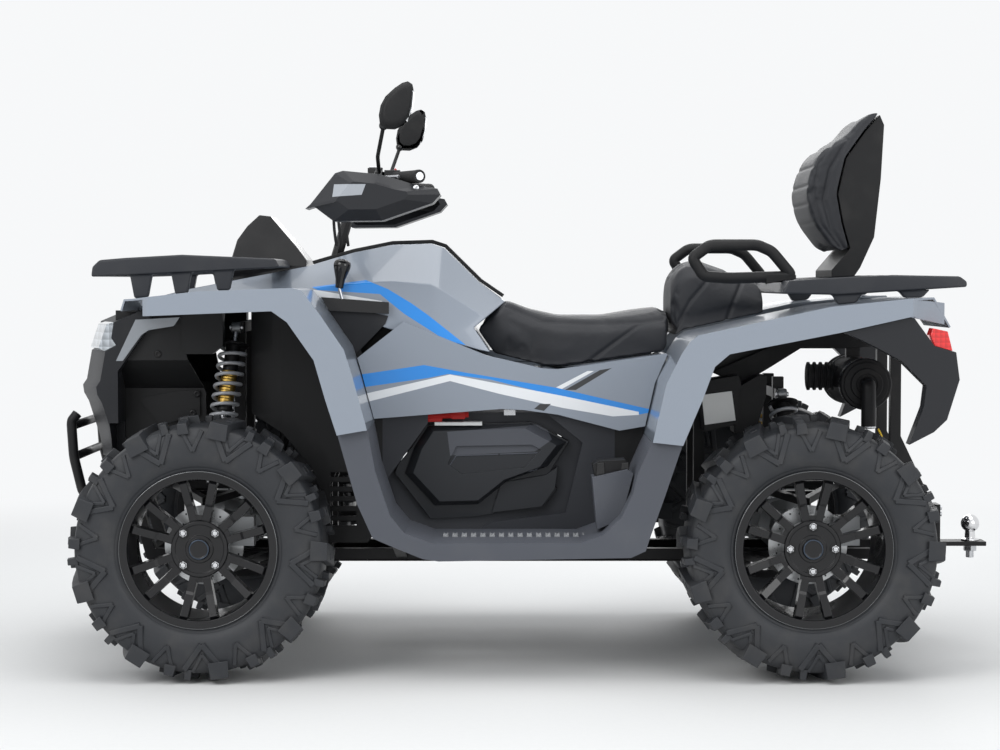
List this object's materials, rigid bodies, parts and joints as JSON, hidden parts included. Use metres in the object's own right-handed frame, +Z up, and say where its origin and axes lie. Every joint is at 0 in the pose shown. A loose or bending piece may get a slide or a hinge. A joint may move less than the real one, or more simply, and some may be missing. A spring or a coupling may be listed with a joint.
{
  "type": "quad bike",
  "caption": "Four-wheeled all-terrain vehicle with handlebar steering, racks front and rear, a two-seat bench with backrest and a tow ball.",
  "frame": {"origin": "centre of the box on the floor the wheels stand on", "axes": "+X to the rear, +Y to the rider's right, +Z up"},
  "size_m": [2.4157, 1.21, 1.4714],
  "materials": {
    "tyre": "satin",
    "rim": "gloss",
    "hub": "satin",
    "arm_black": "satin",
    "knuckle": "cast",
    "shaft": "matt",
    "casting": "cast",
    "damper": "gloss",
    "spring": "gloss",
    "steel_black": "satin",
    "plastic_black": "grained",
    "plastic_dark": "grained",
    "mirror_shell": "satin",
    "tie_rod": "satin",
    "engine": "cast",
    "skid": "brushed",
    "body_grey": "gloss",
    "seat": "grained",
    "lamp": "clear",
    "lamp_red": "gloss",
    "silencer": "satin",
    "knob": "gloss",
    "hitch": "polished",
    "dash": "gloss"
  },
  "bodies": {
    "chassis": {"front_arms": "arm_black", "rear_arms": "arm_black", "rear_knuckles": "knuckle", "half_shafts": "shaft", "drive_units": "casting", "dampers": "damper", "springs": "spring", "frame": "steel_black", "cross_tubes": "steel_black", "inner_panels": "plastic_black", "engine": "engine", "skid_plate": "skid", "front_fenders": "body_grey", "rear_fenders": "body_grey", "rear_flares": "plastic_black", "fascia": "plastic_dark", "footwells": "plastic_black", "tank_cover": "body_grey", "spine_trim": "plastic_black", "dash_cover": "dash", "side_panels": "body_grey", "front_rack": "plastic_black", "rear_rack": "plastic_black", "belt_cover": "plastic_dark", "seat": "seat", "passenger_seat": "seat", "backrest_pad": "seat", "backrest_shell": "plastic_black", "grab_handles": "plastic_dark", "bumper": "steel_black", "headlights": "lamp", "tail_lights": "lamp_red", "silencer": "silencer", "electrics_box": "plastic_black", "gear_lever": "knob", "tow_hitch": "hitch"},
    "wheel_front_left": {"tyre_front_left": "tyre", "rim_front_left": "rim", "hub_front_left": "hub"},
    "wheel_front_right": {"tyre_front_right": "tyre", "rim_front_right": "rim", "hub_front_right": "hub"},
    "wheel_rear_left": {"tyre_rear_left": "tyre", "rim_rear_left": "rim", "hub_rear_left": "hub"},
    "wheel_rear_right": {"tyre_rear_right": "tyre", "rim_rear_right": "rim", "hub_rear_right": "hub"},
    "steering": {"steering_column": "steel_black", "handlebar": "steel_black", "hand_guards": "plastic_dark", "mirrors": "mirror_shell"},
    "knuckle_left": {"knuckle_left": "knuckle"},
    "knuckle_right": {"knuckle_right": "knuckle"},
    "tie_rod_left": {"tie_rod_left": "tie_rod"},
    "tie_rod_right": {"tie_rod_right": "tie_rod"}
  },
  "joints": [
    {"name": "steer", "type": "hinge", "parent": "chassis", "child": "steering", "pos_m": [-0.714, 0, 0.392], "axis": [0.2805, 0, 0.9599], "range_deg": [-38, 38]},
    {"name": "steer_left_wheel", "type": "hinge", "parent": "chassis", "child": "knuckle_left", "pos_m": [-0.82, -0.408, 0.331], "axis": [0, 0.1162, 0.9932], "range_deg": [-31, 31]},
    {"name": "steer_right_wheel", "type": "hinge", "parent": "chassis", "child": "knuckle_right", "pos_m": [-0.82, 0.408, 0.331], "axis": [0, -0.1162, 0.9932], "range_deg": [-31, 31]},
    {"name": "spin_front_left", "type": "hinge", "parent": "knuckle_left", "child": "wheel_front_left", "pos_m": [-0.82, -0.492, 0.325], "axis": [0, 1, 0], "continuous": true},
    {"name": "spin_front_right", "type": "hinge", "parent": "knuckle_right", "child": "wheel_front_right", "pos_m": [-0.82, 0.492, 0.325], "axis": [0, 1, 0], "continuous": true},
    {"name": "spin_rear_left", "type": "hinge", "parent": "chassis", "child": "wheel_rear_left", "pos_m": [0.672, -0.474, 0.325], "axis": [0, 1, 0], "continuous": true},
    {"name": "spin_rear_right", "type": "hinge", "parent": "chassis", "child": "wheel_rear_right", "pos_m": [0.672, 0.474, 0.325], "axis": [0, 1, 0], "continuous": true},
    {"name": "link_left", "type": "hinge", "parent": "steering", "child": "tie_rod_left", "pos_m": [-0.63145, -0.034, 0.36788], "axis": [0.2805, 0, 0.9599], "range_deg": [-38, 38]},
    {"name": "link_right", "type": "hinge", "parent": "steering", "child": "tie_rod_right", "pos_m": [-0.63145, 0.034, 0.36788], "axis": [0.2805, 0, 0.9599], "range_deg": [-38, 38]}
  ],
  "couplings": [
    {"joint": "steer_left_wheel", "follows": "steer", "ratio": 0.8},
    {"joint": "steer_right_wheel", "follows": "steer", "ratio": 0.8},
    {"joint": "link_left", "follows": "steer", "ratio": -1},
    {"joint": "link_right", "follows": "steer", "ratio": -1}
  ]
}
